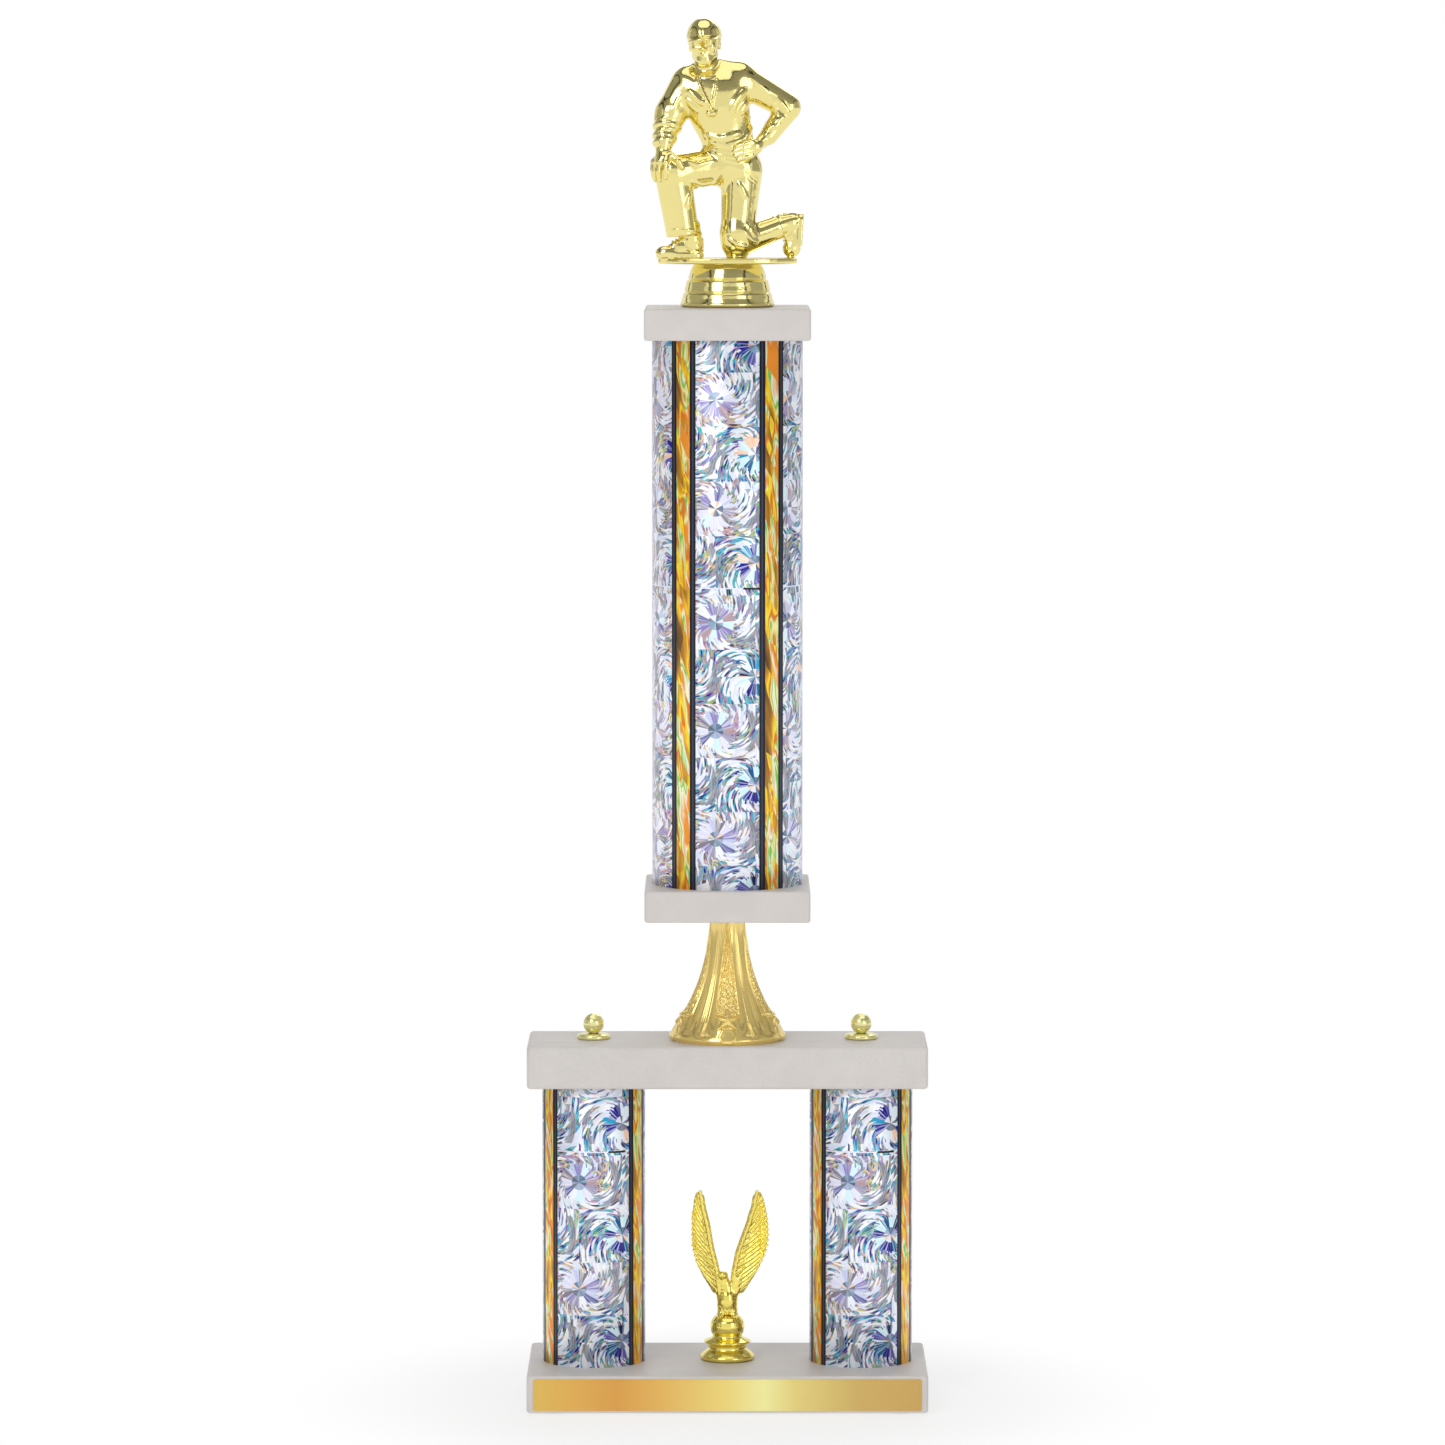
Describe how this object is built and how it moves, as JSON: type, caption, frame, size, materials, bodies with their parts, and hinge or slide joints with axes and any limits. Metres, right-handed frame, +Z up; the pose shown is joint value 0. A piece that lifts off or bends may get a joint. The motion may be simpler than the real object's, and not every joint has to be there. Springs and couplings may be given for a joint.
{
  "type": "two-post column trophy",
  "caption": "Trophy with film-wrapped posts and a tall column between stone slabs, an eagle trim, a flared riser and a kneeling coach figure on top.",
  "frame": {"origin": "on the surface the trophy stands on, under the middle of its base slab", "axes": "+Z up along the tall column, -Y towards the front with the name strip, +X to the trophy's right as seen from the front"},
  "size_m": [0.204, 0.1006, 0.707],
  "materials": {
    "stone": "honed pale warm grey stone",
    "felt": "dark felt",
    "name_strip": "satin gold, shaded along its length",
    "tube_plastic": "plain white plastic",
    "holographic_film": "silver holographic foil with gold stripes edged in black",
    "steel": "zinc plated",
    "gold_riser": "bright metallised gold",
    "gold_figure": "bright metallised pale gold",
    "gold_finial": "bright metallised pale gold",
    "gold_eagle": "bright metallised yellow gold"
  },
  "bodies": {
    "stand": {"base_slab": "stone", "foot_pad_front_left": "felt", "foot_pad_front_right": "felt", "foot_pad_back_left": "felt", "foot_pad_back_right": "felt", "nameplate": "name_strip", "left_post_tube": "tube_plastic", "left_post_film_wrap": "holographic_film", "left_post_lower_plug": "tube_plastic", "left_post_upper_plug": "tube_plastic", "left_post_washer": "steel", "left_post_nut": "steel", "left_post_rod": "steel", "right_post_tube": "tube_plastic", "right_post_film_wrap": "holographic_film", "right_post_lower_plug": "tube_plastic", "right_post_upper_plug": "tube_plastic", "right_post_washer": "steel", "right_post_nut": "steel", "right_post_rod": "steel", "deck_slab": "stone", "riser_bell": "gold_riser", "column_foot_slab": "stone", "tall_column_tube": "tube_plastic", "tall_column_film_wrap": "holographic_film", "tall_column_lower_plug": "tube_plastic", "tall_column_upper_plug": "tube_plastic", "column_cap_slab": "stone", "centre_lower_washer": "steel", "centre_lower_nut": "steel", "centre_upper_washer": "steel", "centre_upper_nut": "steel", "centre_rod": "steel", "eagle_screw_washer": "steel", "eagle_screw": "steel", "left_finial_disc": "gold_finial", "right_finial_disc": "gold_finial"},
    "figure_carrier": {"figure_base": "gold_figure", "figure_threaded_insert": "steel"},
    "figure": {"coach_figure": "gold_figure"},
    "left_finial": {"left_finial_ball": "gold_finial"},
    "right_finial": {"right_finial_ball": "gold_finial"},
    "eagle_carrier": {"eagle_pedestal": "gold_eagle"},
    "eagle": {"eagle_figure": "gold_eagle"}
  },
  "joints": [
    {"name": "figure_lift", "type": "slide", "parent": "stand", "child": "figure_carrier", "axis": [0, 0, 1], "range_m": [0, 0.007]},
    {"name": "figure_turn", "type": "hinge", "parent": "figure_carrier", "child": "figure", "pos_m": [0, 0, 0.5829], "axis": [0, 0, 1], "range_deg": [0, 1980]},
    {"name": "left_finial_turn", "type": "hinge", "parent": "stand", "child": "left_finial", "pos_m": [-0.0685, 0, 0.189], "axis": [0, 0, 1], "continuous": true},
    {"name": "right_finial_turn", "type": "hinge", "parent": "stand", "child": "right_finial", "pos_m": [0.0685, 0, 0.189], "axis": [0, 0, 1], "continuous": true},
    {"name": "eagle_lift", "type": "slide", "parent": "stand", "child": "eagle_carrier", "axis": [0, 0, 1], "range_m": [0, 0.007]},
    {"name": "eagle_turn", "type": "hinge", "parent": "eagle_carrier", "child": "eagle", "pos_m": [0, 0, 0.044], "axis": [0, 0, 1], "range_deg": [0, 1980]}
  ],
  "couplings": [
    {"joint": "figure_lift", "follows": "figure_turn", "m_per_rad": 0.00020213},
    {"joint": "eagle_lift", "follows": "eagle_turn", "m_per_rad": 0.00020213}
  ]
}
